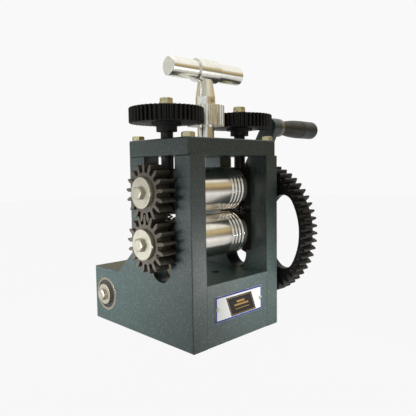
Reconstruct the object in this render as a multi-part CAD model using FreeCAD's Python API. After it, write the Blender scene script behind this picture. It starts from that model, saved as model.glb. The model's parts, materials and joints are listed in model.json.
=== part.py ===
"""Jewellers rolling mill: a hand cranked bench mill with two geared rolls.

Millimetres. +X runs along the rolls, +Y to the back and +Z up. The origin is
the middle of the underside, at the centre of the four bench bolt holes.
"""
import FreeCAD, Part
import math
import os
from FreeCAD import Vector

os.makedirs("parts", exist_ok=True)

# Housing
mill_width = 110.0
plate_thickness = 16.0
tower_depth = 80.0
foot_depth = 144.0
foot_height = 52.5
gusset_run = 23.5
gusset_rise = 21.0
top_plate_thickness = 14.0
top_plate_setback = 2.4
front_panel_thickness = 12.0
floor_thickness = 10.0
foot_cover_thickness = 8.0
rear_panel_thickness = 8.0
edge_break = 0.8
seam_break = 0.4
oil_hole_diameter = 8.5
oil_hole_offset = 5.0
oil_hole_setback = 33.5
bench_thread_diameter = 6.8
bench_thread_depth = 12.0
bench_hole_inset = 10.0
top_bolt_inset = 6.0

# Fits
running_clearance = 0.05
press_clearance = 0.02
sliding_gap = 0.3
washer_clearance = 0.3
end_recess = 0.5
key_end_gap = 1.0
dedendum_share = 1.25

# Rolls
roll_setback = 38.5
lower_roll_height = 87.0
roll_diameter = 40.5
roll_gap = 1.5
closed_gap = 0.1
roll_length = 66.0
thrust_collar_diameter = 28.0
thrust_gap = 0.5
journal_diameter = 20.0
gear_seat_diameter = 16.0
shaft_end_break = 1.0
stub_end_break = 0.5
wire_groove_count = 4
wire_groove_pitch = 4.4
wire_groove_margin = 6.1
wire_groove_depth = 1.1

# Bearing blocks in their slots
slot_width = 40.0
block_height = 35.0
block_headroom = 12.5
notch_width = 26.0
notch_depth = 17.3
bush_wall = 3.0
spring_wire = 1.4
spring_coil_diameter = 8.0
spring_turns = 3.5
spring_pocket_diameter = 10.4
spring_pocket_depth = 1.8

# Gears that couple the two rolls
roll_gear_teeth = 17
roll_gear_face = 14.0
roll_gear_standoff = 2.0
roll_gear_addendum = 3.2
roll_gear_pressure_angle = 10.0
roll_gear_tooth_share = 0.41
roll_gear_tip_clearance = 0.3
roll_gear_crown = 0.7
roll_gear_root_round = 1.0
roll_washer_diameter = 25.2
roll_washer_thickness = 3.5
key_width = 4.0
key_height = 4.0

# Reduction gears on the right
drive_module = 2.25
big_gear_teeth = 57
idler_teeth = 14
crank_pinion_teeth = 20
drive_pressure_angle = 20.0
drive_tooth_share = 0.45
drive_standoff = 6.0
drive_face = 19.0
big_gear_to_idler_angle = -52.68
idler_to_crank_angle = 5.58
big_gear_rim = 2.8
big_gear_web = 7.0
big_gear_hub_diameter = 36.0
big_gear_hub_length = 15.0
big_gear_spigot_diameter = 30.0
big_gear_seat_diameter = 18.0
big_gear_window_count = 3
big_gear_window_angle = 90.0
big_gear_window_inner_radius = 26.0
big_gear_window_corner = 12.0
big_gear_washer_diameter = 26.0
big_gear_washer_thickness = 2.5

# Idler
idler_stud_diameter = 12.0
idler_stud_shank_diameter = 10.0
idler_stud_shank_length = 13.0
idler_stud_collar_diameter = 17.0
idler_bush_wall = 1.5
clip_thickness = 1.1
clip_groove_depth = 0.8
clip_width = 3.0
idler_stud_tail = 1.5

# Crank
crank_shaft_diameter = 15.0
bearing_diameter = 32.0
bearing_width = 9.0
bearing_race_wall = 2.3
bearing_ball_diameter = 4.6
bearing_ball_count = 9
bearing_seal_thickness = 0.8
bearing_seal_recess = 0.5
bearing_shoulder_diameter = 27.0
crank_pinion_hub_diameter = 19.4
crank_throw = 186.1
crank_lean = 29.4
arm_offset = 29.5
arm_thickness = 8.0
arm_root_radius = 13.0
arm_tip_radius = 9.3
arm_hub_diameter = 30.0
arm_hub_length = 16.0
arm_boss_length = 17.5
crank_washer_diameter = 19.6
crank_washer_thickness = 2.5

# Grip
grip_standoff = 3.5
grip_length = 60.0
grip_neck_radius = 6.5
grip_radius = 9.5
grip_taper_length = 31.0
grip_end_round = 5.0
grip_belly = 0.7
grip_seam_width = 0.8
grip_seam_depth = 0.4
spindle_diameter = 8.0
spindle_thread_length = 15.0
spindle_length = 43.0
spindle_head_diameter = 11.0
spindle_head_length = 4.0
spindle_collar_diameter = 12.0

# Adjusting screws and their gears
screw_inset = 9.375
screw_diameter = 10.5
screw_seat_diameter = 10.0
screw_flat = 1.0
screw_end_break = 0.8
screw_gear_teeth = 48
handle_pinion_teeth = 25
screw_pressure_angle = 20.0
screw_tooth_share = 0.46
screw_gear_height = 13.0
screw_gear_face = 12.5
screw_gear_chamfer = 0.6
screw_gear_recess_depth = 2.0
screw_gear_rim = 3.0
screw_gear_boss_diameter = 25.0
screw_gear_boss_height = 2.0
screw_gear_hub_diameter = 17.5
screw_gear_hub_height = 5.0
screw_gear_hub_rise = 2.9

# T-handle
stem_diameter = 15.0
stem_journal_diameter = 12.0
stem_clip_recess_diameter = 18.0
stem_clip_recess_depth = 3.2
handle_pinion_face = 18.0
handle_pinion_hub_diameter = 17.5
handle_pinion_hub_height = 7.5
stem_neck_diameter = 12.4
stem_neck_height = 17.0
bar_height = 61.5
bar_diameter = 16.5
bar_length = 80.6
bar_azimuth = 4.7
bar_end_break = 0.7
sleeve_wall = 1.8
sleeve_length = 22.5
handle_pin_diameter = 3.0
handle_pin_depth = 8.0
grub_diameter = 4.0
grub_dimple_depth = 1.0
grub_recess = 0.2

# Fasteners: thread, width across flats and head height
small_bolt = 6.0
small_bolt_flats = 10.0
small_bolt_head = 4.0
small_washer_diameter = 12.0
small_washer_thickness = 1.6
large_bolt = 8.0
large_bolt_flats = 13.0
large_bolt_head = 5.3
bolt_engagement = 14.0
thread_runout = 2.0
hex_bevel_share = 0.07

# Name plate
name_plate_width = 60.0
name_plate_height = 22.0
name_plate_thickness = 0.8
name_plate_centre_height = 30.5
rivet_diameter = 2.0
rivet_head_diameter = 3.6
rivet_head_height = 0.9
rivet_shoulder_share = 0.87
rivet_crown_share = 0.44
rivet_inset = 2.4
rivet_length = 5.0

# Places worked out from the sizes above
half_width = mill_width / 2
plate_inside = half_width - plate_thickness
plate_middle = half_width - plate_thickness / 2
top_bolt_x = half_width - top_bolt_inset
front_y = -foot_depth / 2
back_y = foot_depth / 2
tower_back_y = front_y + tower_depth
roll_y = front_y + roll_setback
roll_pitch = roll_diameter + roll_gap
upper_roll_height = lower_roll_height + roll_pitch
shoulder_height = lower_roll_height - block_height / 2
upper_block_top = upper_roll_height + block_height / 2
plate_height = upper_block_top + block_headroom
top_plate_top = plate_height + top_plate_thickness
gear_outer_x = -half_width - roll_gear_standoff - roll_gear_face
drive_x = half_width + drive_standoff
drive_end_x = drive_x + drive_face
big_gear_radius = drive_module * big_gear_teeth / 2
idler_radius = drive_module * idler_teeth / 2
crank_pinion_radius = drive_module * crank_pinion_teeth / 2
idler_reach = big_gear_radius + idler_radius
crank_reach = idler_radius + crank_pinion_radius
idler_y = roll_y + idler_reach * math.cos(math.radians(big_gear_to_idler_angle))
idler_z = lower_roll_height + idler_reach * math.sin(math.radians(big_gear_to_idler_angle))
crank_y = idler_y + crank_reach * math.cos(math.radians(idler_to_crank_angle))
crank_z = idler_z + crank_reach * math.sin(math.radians(idler_to_crank_angle))
arm_x = half_width + arm_offset
arm_hub_end_x = drive_end_x + arm_hub_length
grip_y = crank_y - crank_throw * math.sin(math.radians(crank_lean))
grip_z = crank_z + crank_throw * math.cos(math.radians(crank_lean))
screw_x = half_width - screw_inset
screw_module = 2 * screw_x / (screw_gear_teeth + handle_pinion_teeth)
screw_gear_radius = screw_module * screw_gear_teeth / 2
handle_pinion_radius = screw_module * handle_pinion_teeth / 2
screw_gear_z = top_plate_top + screw_gear_height
screw_gear_top = screw_gear_z + screw_gear_face
screw_hub_top = screw_gear_top + screw_gear_hub_rise
bar_z = top_plate_top + bar_height

LAY_ALONG_X = FreeCAD.Rotation(Vector(1, 1, 1), 120)
FACE_THE_FRONT = FreeCAD.Rotation(Vector(1, 0, 0), 90)


def put(shape, place, turn):
    """Turn a piece and then move it, on top of where it already is."""
    shape.Placement = FreeCAD.Placement(place, turn).multiply(shape.Placement)
    return shape


def on_x(shape, y, z):
    """Lay a piece made along its own Z on a line along X at (y, z)."""
    return put(shape, Vector(0, y, z), LAY_ALONG_X)


def on_z(shape, x, y):
    """Stand a piece made along its own Z on the vertical line at (x, y)."""
    return put(shape, Vector(x, y, 0), FreeCAD.Rotation())


def toward_front(shape, x, y, z):
    """Point a piece made along its own Z forwards from (x, y, z)."""
    return put(shape, Vector(x, y, z), FACE_THE_FRONT)


def block(x_range, y_range, z_range):
    """A box between two places on each axis."""
    low = Vector(min(x_range), min(y_range), min(z_range))
    high = Vector(max(x_range), max(y_range), max(z_range))
    size = high - low
    return Part.makeBox(size.x, size.y, size.z, low)


def rod(start, end, radius):
    """A cylinder on local Z between two stations."""
    return Part.makeCylinder(radius, abs(end - start), Vector(0, 0, min(start, end)))


def ring(start, end, outer_radius, inner_radius):
    """A tube on local Z between two stations."""
    return rod(start, end, outer_radius).cut(rod(start, end, inner_radius))


def turned(points):
    """A solid of revolution from (station, radius) corners, closed on the axis."""
    outline = [(points[0][0], 0.0)] + list(points) + [(points[-1][0], 0.0)]
    corners = [Vector(radius, 0, station) for station, radius in outline]
    face = Part.Face(Part.makePolygon(corners + corners[:1]))
    return face.revolve(Vector(0, 0, 0), Vector(0, 0, 1), 360)


def shaft(start, steps, end_break):
    """A stepped shaft: steps give each length's end station and diameter."""
    last = len(steps) - 1
    points = [(start, steps[0][1] / 2 - end_break), (start + end_break, steps[0][1] / 2)]
    for number, (end, diameter) in enumerate(steps):
        radius = diameter / 2
        if number > 0:
            points.append((steps[number - 1][0], radius))
        if number < last:
            points.append((end, radius))
        else:
            points.append((end - end_break, radius))
            points.append((end, radius - end_break))
    return turned(points)


def hex_bolt(face, outward, thread, flats, head, length):
    """A bolt on local Z: its head stands outward from face, its shank goes in."""
    corner_radius = flats / math.sqrt(3)
    bevel = flats * hex_bevel_share
    corners = [
        Vector(corner_radius * math.cos(math.radians(60 * n)),
               corner_radius * math.sin(math.radians(60 * n)), 0)
        for n in range(7)
    ]
    prism = Part.Face(Part.makePolygon(corners)).extrude(Vector(0, 0, head))
    crown = turned([(0, corner_radius), (head - bevel, corner_radius),
                    (head, corner_radius - 2 * bevel)])
    bolt = prism.common(crown).fuse(rod(-length, 0, thread / 2)).removeSplitter()
    if outward < 0:
        bolt = bolt.mirror(Vector(0, 0, 0), Vector(0, 0, 1))
    bolt.translate(Vector(0, 0, face))
    return bolt


def eased(shape, size, chosen):
    """Chamfer the edges whose middle the test chooses."""
    return shape.makeChamfer(size, [e for e in shape.Edges if chosen(e.CenterOfMass)])


def polar(radius, angle):
    return Vector(radius * math.cos(angle), radius * math.sin(angle), 0)


def involute(angle):
    return math.tan(angle) - angle


def gear_prism(teeth, pitch_radius, tip_radius, root_radius, pressure_angle, share,
               first_tooth, start, end, crown=0.0, root_round=0.0):
    """A spur gear's toothed prism, with its first tooth at the angle given in degrees."""
    pressure = math.radians(pressure_angle)
    base_radius = pitch_radius * math.cos(pressure)
    half_at_base = share * math.pi / teeth + involute(pressure)

    def half_angle(radius):
        if radius <= base_radius:
            return half_at_base
        return half_at_base - involute(math.acos(base_radius / radius))

    flank_start = root_radius + root_round
    flank_foot = max(base_radius, flank_start)
    flank_top = tip_radius - crown
    flank_middle = (flank_foot + flank_top) / 2
    step = 2 * math.pi / teeth
    edges = []
    for number in range(teeth):
        middle = math.radians(first_tooth) + number * step
        sides = {}
        for side in (-1, 1):
            sides[side] = [
                polar(radius, middle + side * half_angle(radius))
                for radius in (flank_start, flank_foot, flank_middle, flank_top)
            ]
        for side in (-1, 1):
            root_point, foot, halfway, top = sides[side]
            if flank_foot > flank_start:
                edges.append(Part.LineSegment(root_point, foot).toShape())
            edges.append(Part.Arc(foot, halfway, top).toShape())
        edges.append(Part.Arc(sides[-1][3], polar(tip_radius, middle), sides[1][3]).toShape())
        next_root = polar(flank_start, middle + step - half_angle(flank_start))
        gap_floor = polar(root_radius, middle + step / 2)
        edges.append(Part.Arc(sides[1][0], gap_floor, next_root).toShape())
    wire = Part.Wire(Part.__sortEdges__(edges))
    prism = Part.Face(wire).extrude(Vector(0, 0, end - start))
    prism.translate(Vector(0, 0, start))
    return prism


def meshing_phase(direction, driver_teeth, driver_tooth, driven_teeth):
    """The angle of a driven gear's first tooth, for a driver tooth at driver_tooth."""
    lead = (driver_tooth - direction) * driver_teeth / driven_teeth
    return direction + 180 - lead + 180 / driven_teeth


def key(start, end, seat_radius, grow=0.0):
    """A parallel key beside a seat on local Z; grow makes its keyway."""
    return block((seat_radius - key_height / 2 - grow, seat_radius + key_height / 2 + grow),
                 (-key_width / 2 - grow, key_width / 2 + grow), (start, end))


def keyed_bore(start, end, seat_diameter):
    """The bore and keyway to cut from what sits on a keyed seat."""
    radius = seat_diameter / 2
    bore = rod(start, end, radius + running_clearance)
    return bore.fuse(key(start, end, radius, running_clearance))


def clip(start, shaft_diameter):
    """An external retaining ring that sits in a groove cut from start."""
    inner_radius = shaft_diameter / 2 - clip_groove_depth + running_clearance
    ring_start = start + running_clearance
    return ring(ring_start, ring_start + clip_thickness, inner_radius + clip_width, inner_radius)


def clip_groove(start, shaft_diameter):
    """The groove to cut for that ring."""
    end = start + clip_thickness + 2 * running_clearance
    return ring(start, end, shaft_diameter, shaft_diameter / 2 - clip_groove_depth)


def save(name, shape):
    """Write one node, after a look that its solids are whole."""
    print(name, "solids", len(shape.Solids), "volume", round(shape.Volume, 1), shape.isValid())
    shape.exportStep("parts/" + name + ".step")


def side_plate(side):
    """One side of the housing, with its bearing slot, notch and tapped holes."""
    inner_x = side * plate_inside
    outer_x = side * half_width
    corners = [
        (front_y, 0), (front_y, plate_height), (tower_back_y, plate_height),
        (tower_back_y, foot_height + gusset_rise), (tower_back_y + gusset_run, foot_height),
        (back_y, foot_height), (back_y, 0),
    ]
    outline = [Vector(inner_x, y, z) for y, z in corners]
    plate = Part.Face(Part.makePolygon(outline + outline[:1])).extrude(
        Vector(outer_x - inner_x, 0, 0))
    plate = eased(plate, edge_break, lambda c: abs(c.x - outer_x) < 0.01)

    reach = (inner_x - side, outer_x + side)
    slot = block(reach, (roll_y - slot_width / 2, roll_y + slot_width / 2),
                 (shoulder_height, plate_height + 1))
    notch_radius = notch_width / 2
    notch_centre = shoulder_height - notch_depth + notch_radius
    notch = block(reach, (roll_y - notch_radius, roll_y + notch_radius),
                  (notch_centre, shoulder_height + 1))
    notch_round = on_x(rod(reach[0], reach[1], notch_radius), roll_y, notch_centre)
    bearing_seat = rod(outer_x - side * bearing_width, outer_x + side,
                       bearing_diameter / 2 + press_clearance)
    shaft_way = rod(reach[0], reach[1], bearing_shoulder_diameter / 2)
    cuts = [slot, notch, notch_round, on_x(bearing_seat, crank_y, crank_z),
            on_x(shaft_way, crank_y, crank_z)]
    if side > 0:
        stud_hole = rod(outer_x - idler_stud_shank_length, outer_x + 1,
                        idler_stud_shank_diameter / 2 + press_clearance)
        cuts.append(on_x(stud_hole, idler_y, idler_z))
    for y in (front_y + bench_hole_inset, back_y - bench_hole_inset):
        hole = rod(-1, bench_thread_depth, bench_thread_diameter / 2)
        cuts.append(on_z(hole, side * plate_middle, y))
    for y in top_bolt_rows():
        hole = rod(plate_height - bolt_engagement, plate_height + 1,
                   small_bolt / 2 + running_clearance)
        cuts.append(on_z(hole, side * top_bolt_x, y))
    return plate.cut(cuts)


def top_bolt_rows():
    """The two rows of top plate bolts, over the front and back legs."""
    return (front_y + top_plate_setback + top_bolt_inset, tower_back_y - top_bolt_inset)


def make_housing():
    save("left_side_plate", side_plate(-1))
    save("right_side_plate", side_plate(1))

    inside = (-plate_inside, plate_inside)
    panel_back = front_y + front_panel_thickness
    panel = block(inside, (front_y, panel_back), (0, foot_height))
    panel = eased(panel, seam_break, lambda c: abs(c.y - front_y) < 0.01)
    for side in (-1, 1):
        hole = rod(-rivet_length, 1, rivet_diameter / 2 + press_clearance)
        panel = panel.cut(toward_front(hole, side * (name_plate_width / 2 - rivet_inset),
                                       front_y, name_plate_centre_height))
    save("front_panel", panel)

    floor = block(inside, (panel_back, tower_back_y), (foot_height - floor_thickness, foot_height))
    oil_hole = rod(0, foot_height + 1, oil_hole_diameter / 2)
    save("floor_plate", floor.cut(on_z(oil_hole, oil_hole_offset, front_y + oil_hole_setback)))

    cover_floor = foot_height - foot_cover_thickness
    cover = block(inside, (tower_back_y, back_y), (cover_floor, foot_height))
    save("foot_cover", eased(cover, seam_break, lambda c: abs(c.y - back_y) < 0.01))
    rear = block(inside, (back_y - rear_panel_thickness, back_y), (0, cover_floor))
    save("rear_panel", eased(rear, seam_break, lambda c: abs(c.y - back_y) < 0.01))

    top = block((-half_width, half_width), (front_y + top_plate_setback, tower_back_y),
                (plate_height, top_plate_top))
    top = eased(top, edge_break, lambda c: c.z > plate_height + 0.01)
    cuts = [on_z(rod(plate_height - 1, top_plate_top + 1,
                     stem_journal_diameter / 2 + running_clearance), 0, roll_y),
            on_z(rod(plate_height - 1, plate_height + stem_clip_recess_depth,
                     stem_clip_recess_diameter / 2), 0, roll_y)]
    bolts = []
    for side in (-1, 1):
        cuts.append(on_z(rod(plate_height - 1, top_plate_top + 1,
                             screw_diameter / 2 + running_clearance), side * screw_x, roll_y))
        for y in top_bolt_rows():
            x = side * top_bolt_x
            cuts.append(on_z(rod(plate_height - 1, top_plate_top + 1,
                                 small_bolt / 2 + washer_clearance), x, y))
            length = top_plate_thickness + bolt_engagement - thread_runout
            bolts.append(on_z(hex_bolt(top_plate_top, 1, small_bolt, small_bolt_flats,
                                       small_bolt_head, length), x, y))
    save("top_plate", top.cut(cuts))
    save("top_plate_bolts", Part.makeCompound(bolts))


def make_name_plate():
    plate = block((-name_plate_width / 2, name_plate_width / 2),
                  (front_y - name_plate_thickness, front_y),
                  (name_plate_centre_height - name_plate_height / 2,
                   name_plate_centre_height + name_plate_height / 2))
    rivets = []
    for side in (-1, 1):
        x = side * (name_plate_width / 2 - rivet_inset)
        hole = rod(-1, name_plate_thickness + 1, rivet_diameter / 2 + press_clearance)
        plate = plate.cut(toward_front(hole, x, front_y, name_plate_centre_height))
        base = name_plate_thickness
        head_radius = rivet_head_diameter / 2
        rivet = turned([
            (1 - rivet_length, rivet_diameter / 2), (base, rivet_diameter / 2),
            (base, head_radius), (base + rivet_head_height / 2, head_radius * rivet_shoulder_share),
            (base + rivet_head_height, head_radius * rivet_crown_share),
        ])
        rivets.append(toward_front(rivet, x, front_y, name_plate_centre_height))
    save("name_plate", plate)
    save("name_plate_rivets", Part.makeCompound(rivets))


def bearing_block(side, centre_z, spring_side):
    """A sliding block for one journal; spring_side is 1 where its spring is on top."""
    half_slot = slot_width / 2 - sliding_gap
    shape = block((side * plate_inside, side * half_width),
                  (roll_y - half_slot, roll_y + half_slot),
                  (centre_z - block_height / 2, centre_z + block_height / 2))
    shape = eased(shape, seam_break, lambda c: True)
    bush_radius = journal_diameter / 2 + running_clearance + bush_wall
    bore = on_x(rod(-half_width - 1, half_width + 1, bush_radius + press_clearance),
                roll_y, centre_z)
    face_z = centre_z + spring_side * block_height / 2
    pocket = on_z(rod(face_z - spring_side * spring_pocket_depth, face_z + spring_side,
                      spring_pocket_diameter / 2), side * plate_middle, roll_y)
    return shape.cut([bore, pocket])


def bushes(centre_z):
    """The two bronze bushes of one roll."""
    inner = journal_diameter / 2 + running_clearance
    return Part.makeCompound([
        on_x(ring(side * plate_inside, side * half_width, inner + bush_wall, inner),
             roll_y, centre_z)
        for side in (-1, 1)
    ])


def helix_point(turn, radius, pitch):
    angle = 2 * math.pi * turn
    return Vector(radius * math.cos(angle), radius * math.sin(angle), pitch * turn)


def helix_tangent(turn, radius, pitch):
    angle = 2 * math.pi * turn
    rise = pitch / (2 * math.pi)
    return Vector(-radius * math.sin(angle), radius * math.cos(angle), rise).normalize()


def arc_from_corner(start, corner, end):
    """The arc from start to end whose end tangents meet at corner."""
    middle = (start + end) * 0.5
    half_chord = (end - start).Length / 2
    turn = math.atan2((corner - middle).Length, half_chord)
    crest = middle + (corner - middle) * (math.tan(turn / 2) / math.tan(turn))
    return Part.Arc(start, crest, end).toShape()


def quarter_turn(turn, radius, pitch):
    """Two arcs that follow a quarter turn of the helix with no corner between them."""
    start, end = (helix_point(turn + extra, radius, pitch) for extra in (0, 0.25))
    leave, arrive = (helix_tangent(turn + extra, radius, pitch) for extra in (0, 0.25))
    span = end - start
    both = leave + arrive
    spread = 2 * (1 - leave.dot(arrive))
    reach = (math.sqrt(span.dot(both) ** 2 + spread * span.dot(span)) - span.dot(both)) / spread
    first_corner = start + leave * reach
    second_corner = end - arrive * reach
    joint = (first_corner + second_corner) * 0.5
    return [arc_from_corner(start, first_corner, joint),
            arc_from_corner(joint, second_corner, end)]


def block_spring(side):
    """The coil spring that lifts one upper block off the lower one."""
    low = lower_roll_height + block_height / 2 - spring_pocket_depth
    high = upper_roll_height - block_height / 2 + spring_pocket_depth
    rise = high - low - spring_wire - 2 * sliding_gap
    pitch = rise / spring_turns
    radius = spring_coil_diameter / 2
    edges = []
    for quarter in range(round(4 * spring_turns)):
        edges += quarter_turn(quarter / 4, radius, pitch)
    start = helix_point(0, radius, pitch)
    tangent = helix_tangent(0, radius, pitch)
    section = Part.Wire(Part.makeCircle(spring_wire / 2, start, tangent))
    coil = Part.Wire(edges).makePipeShell([section], True, False)
    print("block spring, least gap between turns", round(pitch - spring_wire, 2))
    coil.translate(Vector(side * plate_middle, roll_y, low + sliding_gap + spring_wire / 2))
    return coil


def make_blocks():
    for name, side in (("left", -1), ("right", 1)):
        save("lower_block_" + name, bearing_block(side, lower_roll_height, 1))
        save("upper_block_" + name, bearing_block(side, upper_roll_height, -1))
    save("lower_bushes", bushes(lower_roll_height))
    save("upper_bushes", bushes(upper_roll_height))
    save("block_springs", Part.makeCompound([block_spring(side) for side in (-1, 1)]))


def roll(right_steps):
    """A roll with its collars, journals, left gear seat and wire grooves."""
    half = roll_length / 2
    collar_end = plate_inside - thrust_gap
    seat_start = half_width + roll_gear_standoff
    steps = [(-seat_start, gear_seat_diameter), (-collar_end, journal_diameter),
             (-half, thrust_collar_diameter), (half, roll_diameter),
             (collar_end, thrust_collar_diameter)] + right_steps
    shape = shaft(gear_outer_x + end_recess, steps, shaft_end_break)
    radius = roll_diameter / 2
    for number in range(wire_groove_count):
        centre = half - wire_groove_margin - number * wire_groove_pitch
        wedge = turned([(centre - wire_groove_depth - 1, radius + 1),
                        (centre, radius - wire_groove_depth),
                        (centre + wire_groove_depth + 1, radius + 1)])
        band = ring(centre - wire_groove_depth - 1, centre + wire_groove_depth + 1,
                    radius + 1, radius - wire_groove_depth - 1)
        shape = shape.cut(band.cut(wedge))
    keyway = key(gear_outer_x, -seat_start, gear_seat_diameter / 2, running_clearance)
    thread = rod(gear_outer_x, gear_outer_x + bolt_engagement + thread_runout,
                 small_bolt / 2 + running_clearance)
    return shape.cut([keyway, thread])


def roll_gear(height, first_tooth):
    """One of the pair of long-toothed gears that turn the rolls together."""
    tip = roll_pitch / 2 + roll_gear_addendum
    root = roll_diameter + closed_gap - tip - roll_gear_tip_clearance
    gear_end = gear_outer_x + roll_gear_face
    gear = gear_prism(roll_gear_teeth, roll_pitch / 2, tip, root, roll_gear_pressure_angle,
                      roll_gear_tooth_share, first_tooth, gear_outer_x, gear_end,
                      roll_gear_crown, roll_gear_root_round)
    return on_x(gear.cut(keyed_bore(gear_outer_x - 1, gear_end + 1, gear_seat_diameter)),
                roll_y, height)


def roll_end_fasteners(prefix, height):
    """The washer and bolt that hold a roll gear on its shaft."""
    washer_face = gear_outer_x - roll_washer_thickness
    washer = ring(washer_face, gear_outer_x, roll_washer_diameter / 2,
                  small_bolt / 2 + washer_clearance)
    bolt = hex_bolt(washer_face, -1, small_bolt, small_bolt_flats, small_bolt_head,
                    roll_washer_thickness + bolt_engagement)
    save(prefix + "_gear_washer", on_x(washer, roll_y, height))
    save(prefix + "_gear_bolt", on_x(bolt, roll_y, height))


def roll_key():
    gear_end = gear_outer_x + roll_gear_face
    return key(gear_outer_x + key_end_gap, gear_end - key_end_gap, gear_seat_diameter / 2)


def make_rolls():
    seat_x = half_width + roll_gear_standoff
    hub_end = seat_x + big_gear_hub_length + drive_standoff - roll_gear_standoff
    lower = roll([(seat_x, journal_diameter), (hub_end - end_recess, big_gear_seat_diameter)])
    seat_key = key(seat_x, hub_end, big_gear_seat_diameter / 2, running_clearance)
    thread = rod(hub_end - bolt_engagement - thread_runout, hub_end,
                 large_bolt / 2 + running_clearance)
    save("lower_roll", on_x(lower.cut([seat_key, thread]), roll_y, lower_roll_height))
    big_key = key(seat_x + key_end_gap, hub_end - key_end_gap, big_gear_seat_diameter / 2)
    save("lower_roll_keys", on_x(Part.makeCompound([roll_key(), big_key]),
                                 roll_y, lower_roll_height))

    upper = roll([(half_width, journal_diameter)])
    save("upper_roll", on_x(upper, roll_y, upper_roll_height))
    save("upper_roll_key", on_x(roll_key(), roll_y, upper_roll_height))

    lower_tooth = 90.0
    upper_tooth = meshing_phase(90.0, roll_gear_teeth, lower_tooth, roll_gear_teeth)
    save("lower_roll_gear", roll_gear(lower_roll_height, lower_tooth))
    save("upper_roll_gear", roll_gear(upper_roll_height, upper_tooth))
    roll_end_fasteners("lower", lower_roll_height)
    roll_end_fasteners("upper", upper_roll_height)
    make_big_gear(seat_x, hub_end)


def drive_gear(teeth, first_tooth):
    """The toothed prism of one of the three reduction gears."""
    pitch_radius = drive_module * teeth / 2
    return gear_prism(teeth, pitch_radius, pitch_radius + drive_module,
                      pitch_radius - dedendum_share * drive_module, drive_pressure_angle,
                      drive_tooth_share, first_tooth, drive_x, drive_end_x)


def sector_window(inner_radius, outer_radius, middle, spread):
    """A through window in the big gear's web, with rounded corners."""
    angles = [math.radians(middle + share * spread / 2) for share in (-1, 0, 1)]
    inner = [polar(inner_radius, angle) for angle in angles]
    outer = [polar(outer_radius, angle) for angle in angles]
    edges = [Part.Arc(*inner).toShape(), Part.LineSegment(inner[2], outer[2]).toShape(),
             Part.Arc(*outer).toShape(), Part.LineSegment(outer[0], inner[0]).toShape()]
    depth = big_gear_web + 2
    face = Part.Face(Part.Wire(Part.__sortEdges__(edges)))
    window = face.extrude(Vector(0, 0, depth))
    uprights = [e for e in window.Edges
                if len(e.Vertexes) == 2 and abs(e.Vertexes[0].Z - e.Vertexes[1].Z) > depth / 2]
    window = window.makeFillet(big_gear_window_corner, uprights)
    window.translate(Vector(0, 0, drive_x - 1))
    return window


def make_big_gear(seat_x, hub_end):
    root_radius = big_gear_radius - dedendum_share * drive_module
    rim_radius = root_radius - big_gear_rim
    hub_radius = big_gear_hub_diameter / 2
    web_end = drive_x + big_gear_web
    gear = drive_gear(big_gear_teeth, big_gear_to_idler_angle)
    cuts = [ring(web_end, drive_end_x + 1, rim_radius, hub_radius),
            rod(hub_end, drive_end_x + 1, hub_radius + 1)]
    for number in range(big_gear_window_count):
        middle = 180 + number * 360 / big_gear_window_count
        cuts.append(sector_window(big_gear_window_inner_radius, rim_radius, middle,
                                  big_gear_window_angle))
    gear = gear.cut(cuts).fuse(rod(seat_x, drive_x, big_gear_spigot_diameter / 2))
    gear = gear.cut(keyed_bore(seat_x - 1, drive_end_x + 1, big_gear_seat_diameter))
    save("big_gear", on_x(gear, roll_y, lower_roll_height))

    washer_face = hub_end + big_gear_washer_thickness
    washer = ring(hub_end, washer_face, big_gear_washer_diameter / 2,
                  large_bolt / 2 + washer_clearance)
    bolt = hex_bolt(washer_face, 1, large_bolt, large_bolt_flats, large_bolt_head,
                    big_gear_washer_thickness + bolt_engagement)
    save("big_gear_washer", on_x(washer, roll_y, lower_roll_height))
    save("big_gear_bolt", on_x(bolt, roll_y, lower_roll_height))


def idler_tooth():
    return meshing_phase(big_gear_to_idler_angle, big_gear_teeth,
                         big_gear_to_idler_angle, idler_teeth)


def make_idler():
    bush_radius = idler_stud_diameter / 2 + running_clearance + idler_bush_wall
    gear = drive_gear(idler_teeth, idler_tooth())
    gear = gear.cut(rod(drive_x - 1, drive_end_x + 1, bush_radius + press_clearance))
    save("idler_gear", on_x(gear, idler_y, idler_z))
    bush = ring(drive_x, drive_end_x, bush_radius, bush_radius - idler_bush_wall)
    save("idler_bush", on_x(bush, idler_y, idler_z))

    groove_x = drive_end_x + sliding_gap
    stud_end = groove_x + clip_thickness + idler_stud_tail
    stud = shaft(half_width - idler_stud_shank_length,
                 [(half_width, idler_stud_shank_diameter),
                  (drive_x - sliding_gap, idler_stud_collar_diameter),
                  (stud_end, idler_stud_diameter)], stub_end_break)
    stud = stud.cut(clip_groove(groove_x, idler_stud_diameter))
    save("idler_stud", on_x(stud, idler_y, idler_z))
    save("idler_clip", on_x(clip(groove_x, idler_stud_diameter), idler_y, idler_z))


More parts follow.
